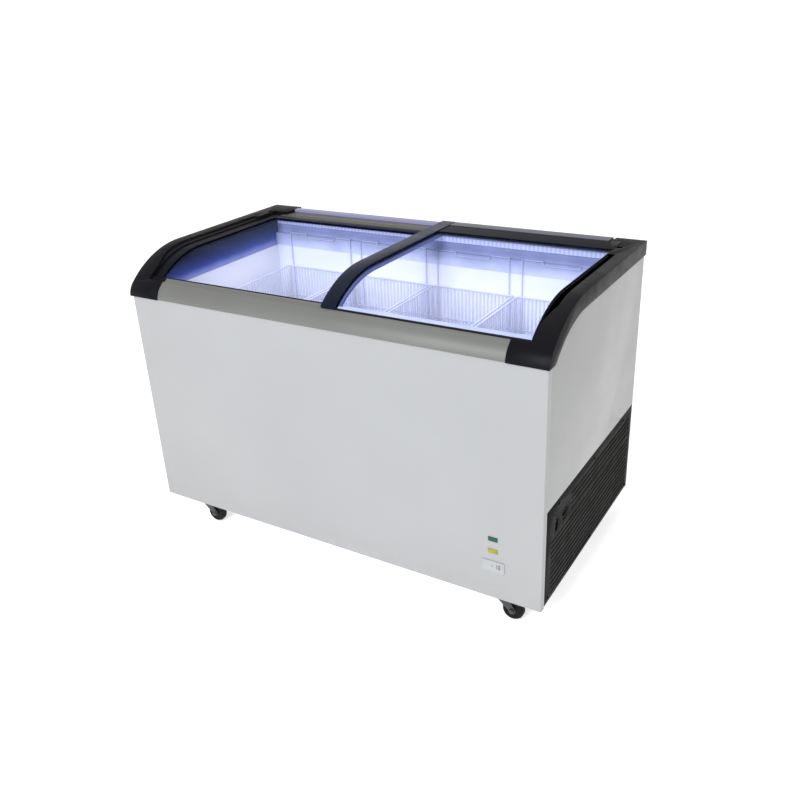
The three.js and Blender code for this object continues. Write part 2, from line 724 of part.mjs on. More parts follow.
function powerSwitch() {
  const points = [[-7, -12.5], [0, -12.5], [2.2, -12.5], [0.4, 0], [2.2, 12.5], [0, 12.5], [-7, 12.5]];
  return alongY(points, [-5.5, 5.5]);
}

function lampLens() {
  return slab(LAMP_X, [-2, 9], [0, LAMP_HEIGHT]);
}

function temperatureDisplay() {
  const bezel = slab(DISPLAY_X, [-2, -GAP], DISPLAY_Z);
  return join(bezel, slab(grown(DISPLAY_X, -4), [-1, 22], grown(DISPLAY_Z, -4)));
}

// ---------------------------------------------------------------- refrigeration unit
const FAN = [517, 160]; // x and z of the fan's axis

function compressor() {
  const shell = turned([
    [0, 0], [52, 0], [66, 10], [74, 34], [76, 62], [78, 66], [78, 72], [75, 76], [73, 112], [60, 142], [34, 156], [0, 160],
  ]);
  const foot = slab([-95, 95], [-62, 62], [-14, -9]);
  const pedestal = slab([-44, 44], [-44, 44], [-10, 6]);
  const terminalBox = slab([60, 94], [-28, 28], [40, 108]);
  const pads = [];
  for (const x of [-80, 80]) {
    for (const y of [-48, 48]) pads.push(bar('z', 11, [-26, -13], [x, y], 10));
  }
  const suction = bar('z', 5, [120, 186], [-30, 34], 8);
  return join(shell, foot, pedestal, terminalBox, suction, ...pads);
}

function condenser() {
  const pieces = [];
  const fins = 9;
  const width = 190;
  for (let i = 0; i < fins; i += 1) {
    const x = -width / 2 + (width * i) / (fins - 1);
    pieces.push(slab([x - 0.8, x + 0.8], [0, 44], [0, 216]));
  }
  for (const y of [12, 32]) {
    for (const z of [60, 156]) {
      pieces.push(slab([-width / 2 - 4, width / 2 + 4], [y - 4, y + 4], [z - 4, z + 4]));
    }
  }
  return join(...pieces);
}

function fanShroud() {
  const plate = slab([-104, 104], [-2, 0], [-112, 104]);
  const ring = bar('y', 90, [-2, 26], [0, 0], 32);
  const hole = bar('y', 86, [-10, 40], [0, 0], 32);
  const foot = slab([-104, 104], [-2, 24], [-158, -155]);
  const legs = [-1, 1].map((s) => slab([s * 90 - 12, s * 90 + 12], [-2, 0], [-157, -100]));
  return join(cut(join(plate, ring), hole), foot, ...legs);
}

function fanBlades() {
  const hub = bar('y', 20, [-7, 9], [0, 0], 20);
  const bore = bar('y', 3.3, [-10, 20], [0, 0], 12);
  const blades = [];
  const count = 5;
  for (let i = 0; i < count; i += 1) {
    const blade = slab([-21, 21], [-1, 1], [17, 80]).rotateZ(THREE.MathUtils.degToRad(22));
    blades.push(blade.rotateY((2 * Math.PI * i) / count));
  }
  return cut(join(hub, ...blades), bore);
}

function fanMotor() {
  const can = bar('y', 34, [14, 62], [0, 0], 24);
  const shaft = bar('y', 3, [-9, 16], [0, 0], 12);
  const post = slab([-9, 9], [34, 44], [-157, -30]);
  const foot = slab([-30, 30], [28, 52], [-158, -154]);
  return join(can, shaft, post, foot);
}

function filterDrier() {
  const profile = [[0, 0], [3, 0], [3, 16], [11, 26], [11, 92], [3, 102], [3, 118], [0, 118]];
  return turned(profile, 14).rotateX(-Math.PI / 2);
}

function cordInlet() {
  const profile = [[0, 7.5], [5, 7.5], [9, 5], [13, 4], [13, GAP], [7.6, GAP], [7.6, -9], [11, -9], [11, -12], [0, -12]];
  const bush = turned([...profile].reverse(), 20);
  return cut(bush, bar('z', 4, [-20, 20], [0, 0], 12)).rotateX(-Math.PI / 2);
}

// ---------------------------------------------------------------- casters
function casterPlate() {
  const plate = slab([-31, 31], [-31, 31], [-2.8, -GAP]);
  return join(plate, bar('z', 6, [-14, -2], [0, 0], 16), bar('z', 9, [-16.5, -13.5], [0, 0], 16));
}

function casterFork() {
  const axle = [TRAIL, AXLE_Z];
  const leg = [
    [-17, -12.8],
    [17, -12.8],
    [TRAIL + 10, AXLE_Z + 4],
    ...arc(axle, 10, 0, -180, 8),
    [-8, -28],
  ];
  const crownDisc = bar('z', 21, [-9.5, -3.2], [0, 0], 24);
  const bridge = slab([-17, 17], [-17, 17], [-12.8, -9]);
  const legs = [-1, 1].map((side) => {
    const inner = WHEEL_WIDTH / 2 + 1.8;
    return alongY(leg, side < 0 ? [-inner - 2.8, -inner] : [inner, inner + 2.8]);
  });
  const kingpin = bar('z', 6.4, [-20, 0], [0, 0], 16);
  const axleHole = bar('y', 4.4, [-30, 30], axle, 14);
  return cut(join(crownDisc, bridge, ...legs), kingpin, axleHole);
}

function casterWheel() {
  const half = WHEEL_WIDTH / 2;
  const bore = 4.5;
  const profile = [
    [bore, -half - 1], [10, -half - 1], [11, -half + 2], [21, -half + 2], [22, -half], [27, -half],
    [WHEEL_RADIUS, -half + 5], [WHEEL_RADIUS, half - 5], [27, half], [22, half], [21, half - 2],
    [11, half - 2], [10, half + 1], [bore, half + 1], [bore, -half - 1],
  ];
  return turned(profile, 28).rotateX(Math.PI / 2);
}

function casterAxle() {
  const shaft = bar('y', 4, [-19, 19], [0, 0], 14);
  const head = bar('y', 7, [16.2, 20], [0, 0], 6);
  const nut = bar('y', 7, [-20, -16.2], [0, 0], 6);
  return join(shaft, head, nut);
}

// ---------------------------------------------------------------- assembly
const cabinet = new THREE.Group();
cabinet.position.set(0, -BODY_DEPTH / 2, CASTER_HEIGHT);

function place(name, geometry, material, [x, y, z] = [0, 0, 0], parent = cabinet) {
  const mesh = new THREE.Mesh(geometry, material());
  mesh.name = name;
  mesh.position.set(x, y, z);
  parent.add(mesh);
}

place('front_panel', frontPanel(), whiteSteel);
place('left_side_panel', mirrored(sidePanel(0)), whiteSteel);
place('right_side_panel', sidePanel(GRILLE_TOP + 2), whiteSteel);
place('rear_panel', rearPanel(), whiteSteel);
place('base_plate', basePlate(), steel);
place('foam_insulation', foamInsulation(), foam);
place('evaporator_coil', evaporatorCoil(), copper);
place('inner_liner', innerLiner(), linerWhite);
place('throat_collar', throatCollar(), collarGrey);
place('front_rail', frontRail(), greyRail);
place('rear_rail', rearRail(), greyRail);
place('rear_track', rearTrack(), trackAluminium);
const rightCapInner = CORNER_X + 20;
place('right_side_frame', endFrame(UPPER_REAR + 2, rightCapInner, [upperLedge()]), blackPlastic);
place('left_side_frame', mirrored(endFrame(LOWER_REAR + 0.6, CORNER_X)), blackPlastic);
place('led_light', lightBar(), lightDiffuser);

const lidMaterials = { glass, rear_rail: greyRail };
for (const [lid, pieces] of [['right_lid', upperLid()], ['left_lid', lowerLid()]]) {
  for (const [piece, geometry] of Object.entries(pieces)) {
    place(`${lid}_${piece}`, geometry, lidMaterials[piece] ?? blackPlastic);
  }
}

for (let i = 0; i < BASKET_COUNT; i += 1) {
  const x = BASKET_SHIFT + BASKET_PITCH * (i - (BASKET_COUNT - 1) / 2);
  place(`basket_${i + 1}`, basket(), wireWhite, [x, 0, 0]);
}

place('side_grille', sideGrille(), blackPlastic);
place('thermostat_knob', thermostatKnob(), blackPlastic, [HALF_WIDTH - 7, ...DIAL]);
place('thermostat_body', thermostatBody(), displayWhite, [HALF_WIDTH - 7, ...DIAL]);
place('power_switch', powerSwitch().rotateY(THREE.MathUtils.degToRad(7)), blackPlastic, [HALF_WIDTH - 4, ...SWITCH]);
place('green_lamp', lampLens(), greenLens, [0, 0, LAMP_GREEN_Z]);
place('yellow_lamp', lampLens(), yellowLens, [0, 0, LAMP_YELLOW_Z]);
place('temperature_display', temperatureDisplay(), displayWhite);

place('compressor', compressor(), compressorBlack, [FAN[0], 440, SHEET + GAP + 26]);
place('condenser', condenser(), steel, [FAN[0], 60, 48]);
place('fan_shroud', fanShroud(), steel, [FAN[0], 120, FAN[1]]);
place('fan_blades', fanBlades(), compressorBlack, [FAN[0], 132, FAN[1]]);
place('fan_motor', fanMotor(), compressorBlack, [FAN[0], 132, FAN[1]]);
place('filter_drier', filterDrier(), copper, [430, 250, 200]);
place('cord_inlet', cordInlet(), blackPlastic, [INLET_X, BODY_DEPTH, INLET_Z]);

const casterSpots = {
  front_left: [-CASTER_X, CASTER_INSET],
  front_right: [CASTER_X, CASTER_INSET],
  rear_left: [-CASTER_X, BODY_DEPTH - CASTER_INSET],
  rear_right: [CASTER_X, BODY_DEPTH - CASTER_INSET],
};
for (const [spot, [x, y]] of Object.entries(casterSpots)) {
  const caster = new THREE.Group();
  caster.position.set(x, y, 0);
  cabinet.add(caster);
  place(`${spot}_caster_plate`, casterPlate(), casterGrey, [0, 0, 0], caster);
  place(`${spot}_caster_fork`, casterFork(), casterGrey, [0, 0, 0], caster);
  place(`${spot}_caster_wheel`, casterWheel(), tyreBlack, [TRAIL, 0, AXLE_Z], caster);
  place(`${spot}_caster_axle`, casterAxle(), steel, [TRAIL, 0, AXLE_Z], caster);
}

export default cabinet;
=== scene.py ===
"""Look of the curved-glass chest freezer: fine wire baskets, moulded collar, glass and materials.

Metres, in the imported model's frame: x to the right, y to the rear and z up, from the floor under the middle.
"""

import math

import bmesh
import bpy
from mathutils import Matrix, Vector


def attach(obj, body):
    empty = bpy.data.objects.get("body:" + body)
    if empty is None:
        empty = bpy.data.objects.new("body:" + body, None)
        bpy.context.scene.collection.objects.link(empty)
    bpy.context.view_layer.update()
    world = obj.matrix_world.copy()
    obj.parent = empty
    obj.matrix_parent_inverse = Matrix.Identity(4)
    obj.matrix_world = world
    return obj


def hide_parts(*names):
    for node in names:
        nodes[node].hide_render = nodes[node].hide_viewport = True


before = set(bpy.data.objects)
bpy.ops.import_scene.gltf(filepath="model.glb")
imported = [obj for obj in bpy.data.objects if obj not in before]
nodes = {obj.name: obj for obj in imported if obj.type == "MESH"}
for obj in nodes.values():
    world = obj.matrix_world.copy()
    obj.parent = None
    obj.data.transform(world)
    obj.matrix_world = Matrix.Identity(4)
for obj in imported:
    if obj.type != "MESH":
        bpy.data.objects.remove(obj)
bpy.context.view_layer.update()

MM = 0.001
BODY_DEPTH = 692
UNDERSIDE = 85  # height of the cabinet's underside above the floor
SHARP = math.radians(32)  # an edge that turns by more than this stays sharp

# The curve that the frames and lids follow. Cabinet millimetres count y from the front face and z from the
# underside.
FRAME_TOP = 787
CROWN_RADIUS = 300
CROWN_Y = 215
CROWN_Z = FRAME_TOP - CROWN_RADIUS
UPPER_STOP = 39.1  # degrees round the crown at which each lid ends
LOWER_STOP = 35.8


# ---------------------------------------------------------------- small helpers
def place(x, y, z):
    """A point given in cabinet millimetres, in metres in the model's frame."""
    return Vector((x, y - BODY_DEPTH / 2, z + UNDERSIDE)) * MM


def finish_piece(obj, body, slot, material, *replaced):
    """Gives a new piece its material in a new slot, and its body, and hides the CAD nodes that it stands for.
    The slot argument is not used.
    """
    obj.data.materials.append(material)
    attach(obj, body)
    if replaced:
        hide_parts(*replaced)
    return obj


def mesh_object(name, bm):
    """An object from a bmesh, smooth apart from its sharp edges."""
    bmesh.ops.recalc_face_normals(bm, faces=bm.faces)
    mesh = bpy.data.meshes.new(name)
    for face in bm.faces:
        face.smooth = True
    for edge in bm.edges:
        edge.smooth = edge.is_manifold and edge.calc_face_angle(0) < SHARP
    bm.to_mesh(mesh)
    bm.free()
    obj = bpy.data.objects.new(name, mesh)
    bpy.context.scene.collection.objects.link(obj)
    return obj


def prism_x(bm, outline, x0, x1):
    """A (y, z) outline in cabinet millimetres, drawn out along x."""
    ends = [[bm.verts.new(place(x, y, z)) for y, z in outline] for x in (x0, x1)]
    bm.faces.new(ends[0])
    bm.faces.new(list(reversed(ends[1])))
    count = len(outline)
    for i in range(count):
        j = (i + 1) % count
        bm.faces.new((ends[0][j], ends[0][i], ends[1][i], ends[1][j]))


def box_mm(bm, xs, ys, zs):
    """A box between two corners, in cabinet millimetres."""
    prism_x(bm, [(ys[0], zs[0]), (ys[1], zs[0]), (ys[1], zs[1]), (ys[0], zs[1])], *xs)


def rounded_path(points, radius, steps):
    """The points with each inner corner replaced by a short arc."""
    share = 0.45  # the most of either leg that an arc may take
    points = [Vector(p) for p in points]
    path = [points[0]]
    for before, corner, after in zip(points, points[1:], points[2:]):
        a = before - corner
        b = after - corner
        reach = min(radius, a.length * share, b.length * share)
        start = corner + a.normalized() * reach
        end = corner + b.normalized() * reach
        for i in range(steps + 1):
            t = i / steps
            path.append(start * (1 - t) ** 2 + corner * 2 * t * (1 - t) + end * t**2)
    path.append(points[-1])
    return path


def tube(bm, points, radius, sides, closed=False):
    """A round wire along a path in metres, closed at its ends or joined to its own start."""
    count = len(points)
    side = None
    rings = []
    for i, point in enumerate(points):
        last = points[i - 1] if closed or i > 0 else point
        following = points[(i + 1) % count] if closed or i < count - 1 else point
        direction = (following - last).normalized()
        if side is None:
            side = direction.orthogonal().normalized()
        side = (side - direction * side.dot(direction)).normalized()
        other = direction.cross(side)
        turns = [2 * math.pi * k / sides for k in range(sides)]
        spokes = [side * math.cos(turn) + other * math.sin(turn) for turn in turns]
        rings.append([bm.verts.new(point + spoke * radius) for spoke in spokes])
    pairs = list(zip(rings, rings[1:]))
    if closed:
        pairs.append((rings[-1], rings[0]))
    else:
        bm.faces.new(list(reversed(rings[0])))
        bm.faces.new(rings[-1])
    for a, b in pairs:
        for k in range(sides):
            m = (k + 1) % sides
            bm.faces.new((a[k], a[m], b[m], b[k]))


def crown(depth, start, stop, steps):
    """Points (y, z) on the crown arc at a depth below the outer curve, between two angles from the top."""
    points = []
    for i in range(steps + 1):
        angle = math.radians(90 + start + (stop - start) * i / steps)
        radius = CROWN_RADIUS - depth
        points.append((CROWN_Y + radius * math.cos(angle), CROWN_Z + radius * math.sin(angle)))
    return points


def curved_strip(top, bottom, stop, rear, steps=36):
    """The outline of a strip that follows the crown and the flat top."""
    upper = crown(top, stop, 0, steps)
    lower = crown(bottom, 0, stop, steps)
    return [*upper, (rear, FRAME_TOP - top), (rear, FRAME_TOP - bottom), *lower]


# ---------------------------------------------------------------- material helpers
CROWN_AXIS = place(0, CROWN_Y, CROWN_Z)
LIDS_MEET = 0.058  # x in metres where the lower lid's front edge gives way to the upper lid's


class Graph:
    """A material's node tree, with the Principled shader and the coordinates already there."""

    def __init__(self, name):
        self.material = bpy.data.materials.new(name)
        self.material.use_nodes = True
        self.tree = self.material.node_tree
        self.shader = self.tree.nodes["Principled BSDF"]
        self.output = self.tree.nodes["Material Output"]
        self.place = self.node("ShaderNodeTexCoord").outputs["Object"]

    def node(self, kind, **settings):
        made = self.tree.nodes.new(kind)
        for key, value in settings.items():
            setattr(made, key, value)
        return made

    def join(self, source, target):
        self.tree.links.new(source, target)

    def stretched(self, scale):
        mapping = self.node("ShaderNodeMapping")
        mapping.inputs["Scale"].default_value = scale
        self.join(self.place, mapping.inputs["Vector"])
        return mapping.outputs["Vector"]

    def noise(self, scale, detail=3.0, roughness=0.5, vector=None):
        made = self.node("ShaderNodeTexNoise")
        made.inputs["Scale"].default_value = scale
        made.inputs["Detail"].default_value = detail
        made.inputs["Roughness"].default_value = roughness
        self.join(vector or self.place, made.inputs["Vector"])
        return made.outputs["Fac"]

    def ranged(self, value, low, high, to_low=0.0, to_high=1.0):
        made = self.node("ShaderNodeMapRange")
        for key, number in zip(("From Min", "From Max", "To Min", "To Max"), (low, high, to_low, to_high)):
            made.inputs[key].default_value = number
        self.join(value, made.inputs["Value"])
        return made.outputs["Result"]

    def math(self, operation, *values):
        made = self.node("ShaderNodeMath", operation=operation)
        for socket, value in zip(made.inputs, values):
            if isinstance(value, (int, float)):
                socket.default_value = value
            else:
                self.join(value, socket)
        return made.outputs["Value"]

    def mix(self, factor, a, b):
        made = self.node("ShaderNodeMix", data_type="RGBA")
        self.join(factor, made.inputs["Factor"])
        for index, value in ((6, a), (7, b)):
            if isinstance(value, tuple):
                made.inputs[index].default_value = (*value, 1.0)
            else:
                self.join(value, made.inputs[index])
        return made.outputs[2]

    def edges(self, radius):
        """1 on the object's edges, 0 on its faces."""
        bevel = self.node("ShaderNodeBevel", samples=4)
        bevel.inputs["Radius"].default_value = radius
        geometry = self.node("ShaderNodeNewGeometry")
        dot = self.node("ShaderNodeVectorMath", operation="DOT_PRODUCT")
        self.join(bevel.outputs["Normal"], dot.inputs[0])
        self.join(geometry.outputs["Normal"], dot.inputs[1])
        return self.ranged(dot.outputs["Value"], 0.99, 0.8)

    def along(self, axis):
        """The position along one axis, in metres."""
        parts = self.node("ShaderNodeSeparateXYZ")
        self.join(self.place, parts.inputs["Vector"])
        return parts.outputs[axis]

    def crown_depth(self):
        """How far a surface lies below the curve that the frames and lids follow, in metres."""
        ahead = self.math("MINIMUM", self.math("SUBTRACT", self.along("Y"), CROWN_AXIS.y), 0.0)
        rise = self.math("SUBTRACT", self.along("Z"), CROWN_AXIS.z)
        squares = self.math("ADD", self.math("POWER", ahead, 2.0), self.math("POWER", rise, 2.0))
        return self.math("SUBTRACT", CROWN_RADIUS * MM, self.math("SQRT", squares))

    def beneath_lids(self):
        """1 on what lies behind the front edges of the lids, 0 in front of them."""
        left, right = (math.tan(math.radians(stop)) for stop in (LOWER_STOP, UPPER_STOP))
        slope = self.ranged(self.along("X"), LIDS_MEET, LIDS_MEET + 0.0001, left, right)
        rise = self.math("SUBTRACT", self.along("Z"), CROWN_AXIS.z)
        ahead = self.math("SUBTRACT", self.along("Y"), CROWN_AXIS.y)
        return self.ranged(self.math("ADD", self.math("MULTIPLY", rise, slope), ahead), 0.0, 0.0003)

    def band(self, value, low, high):
        """1 where the value lies between two limits."""
        fade = 0.0002
        from_low = self.ranged(value, low, low + fade)
        to_high = self.ranged(value, high, high - fade)
        return self.math("MULTIPLY", from_low, to_high)

    def bump(self, value, distance, strength=1.0, under=None):
        made = self.node("ShaderNodeBump")
        made.inputs["Distance"].default_value = distance
        made.inputs["Strength"].default_value = strength
        self.join(value, made.inputs["Height"])
        if under is not None:
            self.join(under, made.inputs["Normal"])
        self.join(made.outputs["Normal"], self.shader.inputs["Normal"])
        return made.outputs["Normal"]

    def set(self, **values):
        """Constants on the shader's own sockets, with _ for each space in a socket's name."""
        for key, value in values.items():
            self.shader.inputs[key.replace("_", " ")].default_value = value


THROAT_WHITE = (0.72, 0.74, 0.90)
BRUSHED_X = (0.02, 1.0, 1.0)  # stretches a pattern along x, like the marks of a drawn rail

# Where the frames and rails change colour, in metres, including the painted shade in the frame's grooves and
# on the collar.
GROOVE_SHADE_X = (0.584, 0.617)
GROOVE_SHADE_DEPTH = (0.0015, 0.0075)
GROOVE_SHADE_FRONT = (-0.290, -0.286)
THROAT_SIDE = 0.5885
THROAT_DEPTH = (0.0060, 0.0065)
THROAT_REAR = (-0.20, -0.201)
RIGHT_CAP = (0.556, 0.557)
# Heights and ends over which the collar's painted shade deepens.
COLLAR_SHADE_HEIGHTS = (0.760, 0.860)
COLLAR_SHADED_ENDS = (0.583, 0.588)


def shade(color, factor):
    """The colour made lighter or darker."""
    return tuple(min(1.0, c * factor) for c in color)


def finish(name, color, rough, metal=0.0, cloud=3.0, vary=0.06, grain=900.0, depth=0.00004,
           wear=None, worn=0.4, stretch=None, edge=0.0012, **constants):
    """A surface with cloudy colour, uneven gloss, a fine grain and worn edges."""
    g = Graph(name)
    clouds = g.ranged(g.noise(cloud, 4.0), 0.3, 0.7)
    tone = g.mix(clouds, shade(color, 1 - vary), shade(color, 1 + vary))
    if wear is not None:
        patches = g.ranged(g.noise(45.0, 5.0, 0.65), 0.42, 0.68)
        mask = g.math("MULTIPLY", g.math("MULTIPLY", g.edges(edge), patches), worn)
        tone = g.mix(mask, tone, wear)
    g.join(tone, g.shader.inputs["Base Color"])
    streaks = g.noise(cloud * 9, 5.0, 0.6, g.stretched(stretch) if stretch else None)
    g.join(g.ranged(streaks, 0.3, 0.7, rough - 0.06, rough + 0.07), g.shader.inputs["Roughness"])
    fine = g.noise(grain, 2.0, 0.5, g.stretched(stretch) if stretch else None)
    g.bump(fine, depth)
    g.set(Metallic=metal, **constants)
    return g


# ---------------------------------------------------------------- materials
def painted_steel():
    """Coated sheet steel: orange peel in the coat, a little soiling low down, slightly dull edges."""
    g = Graph("painted_steel")
    clouds = g.ranged(g.noise(2.2, 4.0), 0.3, 0.7)
    tone = g.mix(clouds, (0.325, 0.327, 0.334), (0.35, 0.352, 0.359))
    low = g.ranged(g.along("Z"), 0.22, 0.085)
    smudge = g.math("MULTIPLY", low, g.ranged(g.noise(14.0, 6.0, 0.65), 0.45, 0.75, 0.0, 0.22))
    tone = g.mix(smudge, tone, (0.25, 0.25, 0.245))
    chips = g.math("MULTIPLY", g.edges(0.0012), g.ranged(g.noise(60.0, 5.0, 0.65), 0.5, 0.7, 0.0, 0.35))
    tone = g.mix(chips, tone, (0.27, 0.272, 0.28))
    g.join(tone, g.shader.inputs["Base Color"])
    g.join(g.ranged(g.noise(8.0, 5.0), 0.3, 0.7, 0.34, 0.46), g.shader.inputs["Roughness"])
    waves = g.bump(g.noise(7.0, 2.0), 0.0006, 0.5)
    g.bump(g.noise(520.0, 2.0), 0.00005, 0.6, waves)
    g.set(Coat_Weight=0.25, Coat_Roughness=0.12, Specular_IOR_Level=0.45)
    return g.material


def tub_liner():
    """Smooth pre-painted liner sheet with a thin bloom of frost that thickens towards the bottom."""
    g = Graph("tub_liner")
    low = g.ranged(g.along("Z"), 0.72, 0.20)
    frost = g.math("MULTIPLY", low, g.ranged(g.noise(16.0, 7.0, 0.7), 0.40, 0.72))
    tone = g.mix(frost, (0.88, 0.88, 0.925), (0.92, 0.92, 0.955))
    g.join(tone, g.shader.inputs["Base Color"])
    g.join(g.ranged(frost, 0.0, 1.0, 0.35, 0.75), g.shader.inputs["Roughness"])
    g.bump(g.math("MULTIPLY", frost, g.noise(420.0, 4.0, 0.7)), 0.0006, 0.6)
    return g.material


def collar_light_and_shade():
    """Moulded grey throat collar with painted light and shade: painted pale violet light by the tub, painted
    shade that darkens it upwards towards the black skirt, and painted navy shade at both ends under the lids.
    """
    g = Graph("collar_light_and_shade")
    ramp = g.node("ShaderNodeValToRGB")
    # Painted shade: the collar grows darker upwards under the frame.
    shade_upwards = g.ranged(g.along("Z"), *COLLAR_SHADE_HEIGHTS, 0.0, 0.58)
    wobble = g.math("MULTIPLY", g.ranged(g.noise(30.0, 3.0), 0.0, 1.0, -0.5, 0.5), 0.03)
    # Painted shade: the collar grows darker at both ends under the lids.
    shade_at_ends = g.ranged(g.math("ABSOLUTE", g.along("X")), *COLLAR_SHADED_ENDS, 0.0, 0.60)
    g.join(g.math("ADD", g.math("ADD", shade_upwards, wobble), shade_at_ends), ramp.inputs["Fac"])
    # Colour stops: painted pale violet light at the bottom, painted navy and black shade at the top.
    stops = (
        (0.00, (0.70, 0.72, 0.90)),
        (0.20, (0.58, 0.60, 0.82)),
        (0.32, (0.34, 0.35, 0.56)),
        (0.58, (0.42, 0.44, 0.66)),
        (0.64, (0.30, 0.34, 0.72)),
        (0.74, (0.07, 0.11, 0.42)),
        (0.86, (0.035, 0.05, 0.22)),
        (1.00, (0.004, 0.006, 0.025)),
    )
    elements = ramp.color_ramp.elements
    while len(elements) < len(stops):
        elements.new(0.5)
    for element, (position, color) in zip(elements, stops):
        element.position = position
        element.color = (*color, 1.0)
    clouds = g.ranged(g.noise(11.0, 5.0, 0.6), 0.25, 0.75, 0.82, 1.12)
    hue = g.node("ShaderNodeHueSaturation")
    g.join(clouds, hue.inputs["Value"])
    g.join(ramp.outputs["Color"], hue.inputs["Color"])
    g.join(hue.outputs["Color"], g.shader.inputs["Base Color"])
    g.join(g.ranged(g.noise(35.0, 4.0), 0.3, 0.7, 0.3, 0.48), g.shader.inputs["Roughness"])
    g.bump(g.noise(850.0, 3.0), 0.00005)
    g.set(Specular_IOR_Level=0.15)
    return g.material


def frame_black():
    """Moulded frame: nearly black, with painted shade that makes its grooves pitch dark, and pale where it
    shows through the lids.
    """
    g = finish("frame_black", (0.0040, 0.0042, 0.0058), 0.42, vary=0.25, grain=1500.0, depth=0.00007,
               wear=(0.07, 0.066, 0.064), worn=0.3)
    plain = g.shader.inputs["Base Color"].links[0].from_socket
    across = g.along("X")
    depth = g.crown_depth()
    # Painted shade: a mask for the frame's grooves, whose colour is made pitch black.
    groove_shade = g.math("MULTIPLY", g.band(across, *GROOVE_SHADE_X), g.band(depth, *GROOVE_SHADE_DEPTH))
    groove_shade = g.math("MULTIPLY", groove_shade, g.ranged(g.along("Y"), *GROOVE_SHADE_FRONT))
    tone = g.mix(groove_shade, plain, (0.0008, 0.0008, 0.0012))
    inside = g.math("MULTIPLY", g.band(across, 0.0, THROAT_SIDE), g.ranged(depth, *THROAT_DEPTH))
    inside = g.math("MULTIPLY", inside, g.ranged(g.along("Y"), *THROAT_REAR))
    tone = g.mix(g.math("MULTIPLY", inside, g.beneath_lids()), tone, THROAT_WHITE)
    g.join(tone, g.shader.inputs["Base Color"])
    # Painted shade: metal with no tint in the grooves takes their reflection away.
    g.join(groove_shade, g.shader.inputs["Metallic"])
    g.join(g.mix(groove_shade, (0.93, 0.9, 1.0), (0.0, 0.0, 0.0)), g.shader.inputs["Specular Tint"])
    g.set(Specular_IOR_Level=0.1)
    return g.material


def front_rail():
    """Olive-grey drawn rail, pale on the lip that lies under the lids."""
    g = finish("rail_olive", (0.150, 0.152, 0.142), 0.5, metal=0.1, vary=0.08, grain=700.0, depth=0.00005,
               stretch=BRUSHED_X, wear=(0.28, 0.28, 0.26), worn=0.4, edge=0.0015)
    plain = g.shader.inputs["Base Color"].links[0].from_socket
    g.join(g.mix(g.beneath_lids(), plain, THROAT_WHITE), g.shader.inputs["Base Color"])
    return g.material


def middle_bar():
    """The lower lid's inner bar, dark with painted blue light: navy beside the handle, paler and bluer towards
    the glass.
    """
    g = Graph("middle_bar")
    across = g.ranged(g.along("X"), 0.048, 0.060)
    streaks = g.ranged(g.noise(60.0, 4.0, 0.6, g.stretched((1.0, 0.1, 0.1))), 0.3, 0.7, -0.12, 0.12)
    # Painted blue light on the dark bar, paler towards the glass.
    tone = g.mix(g.math("ADD", across, streaks), (0.010, 0.014, 0.075), (0.17, 0.19, 0.42))
    g.join(tone, g.shader.inputs["Base Color"])
    g.join(g.ranged(g.noise(40.0, 4.0), 0.3, 0.7, 0.3, 0.42), g.shader.inputs["Roughness"])
    g.bump(g.noise(900.0, 3.0), 0.00005)
    g.set(Specular_IOR_Level=0.2)
    return g.material


def rail_bands(name, split, front, rear, gloss=0.1):
    """Drawn rail, black by the right frame, in two finishes that meet at the y given as split."""
    g = Graph(name)
    drawn = g.stretched(BRUSHED_X)
    behind = g.ranged(g.along("Y"), split - 0.0006, split + 0.0006)
    tone = g.mix(behind, front, rear)
    streaks = g.ranged(g.noise(70.0, 5.0, 0.6, drawn), 0.3, 0.7, 0.0, 0.3)
    tone = g.mix(streaks, tone, g.mix(behind, shade(front, 0.6), shade(rear, 0.75)))
    worn = g.math("MULTIPLY", g.edges(0.001), g.ranged(g.noise(50.0, 5.0, 0.65), 0.42, 0.68, 0.0, 0.35))
    tone = g.mix(worn, tone, shade(rear, 1.5))
    tone = g.mix(g.ranged(g.along("X"), *RIGHT_CAP), tone, (0.004, 0.004, 0.006))
    g.join(tone, g.shader.inputs["Base Color"])
    uneven = g.ranged(g.noise(30.0, 4.0, 0.6, drawn), 0.3, 0.7, 0.30, 0.43)
    g.join(uneven, g.shader.inputs["Roughness"])
    g.bump(g.noise(700.0, 2.0, 0.5, drawn), 0.00005)
    g.set(Specular_IOR_Level=gloss)
    return g.material


def lid_glass():
    """Toughened glass seen through: a faint blue body, a bright mirror at grazing angles, a few smears."""
    g = Graph("lid_glass")
    g.tree.nodes.remove(g.shader)
    clear = g.node("ShaderNodeBsdfTransparent")
    smears = g.ranged(g.noise(9.0, 5.0, 0.6, g.stretched((1.0, 0.35, 1.0))), 0.35, 0.7)
    g.join(g.mix(smears, (0.945, 0.96, 1.0), (0.90, 0.93, 0.99)), clear.inputs["Color"])
    mirror = g.node("ShaderNodeBsdfGlossy")
    mirror.inputs["Color"].default_value = (0.42, 0.56, 1.0, 1.0)
    g.join(g.ranged(smears, 0.0, 1.0, 0.02, 0.10), mirror.inputs["Roughness"])
    facing = g.node("ShaderNodeLayerWeight")
    facing.inputs["Blend"].default_value = 0.5
    grazing = g.math("POWER", facing.outputs["Facing"], 5.0)
    blend = g.node("ShaderNodeMixShader")
    g.join(g.ranged(grazing, 0.0, 1.0, 0.010, 0.18), blend.inputs["Fac"])
    g.join(clear.outputs["BSDF"], blend.inputs[1])
    g.join(mirror.outputs["BSDF"], blend.inputs[2])
    g.join(blend.outputs["Shader"], g.output.inputs["Surface"])
    return g.material


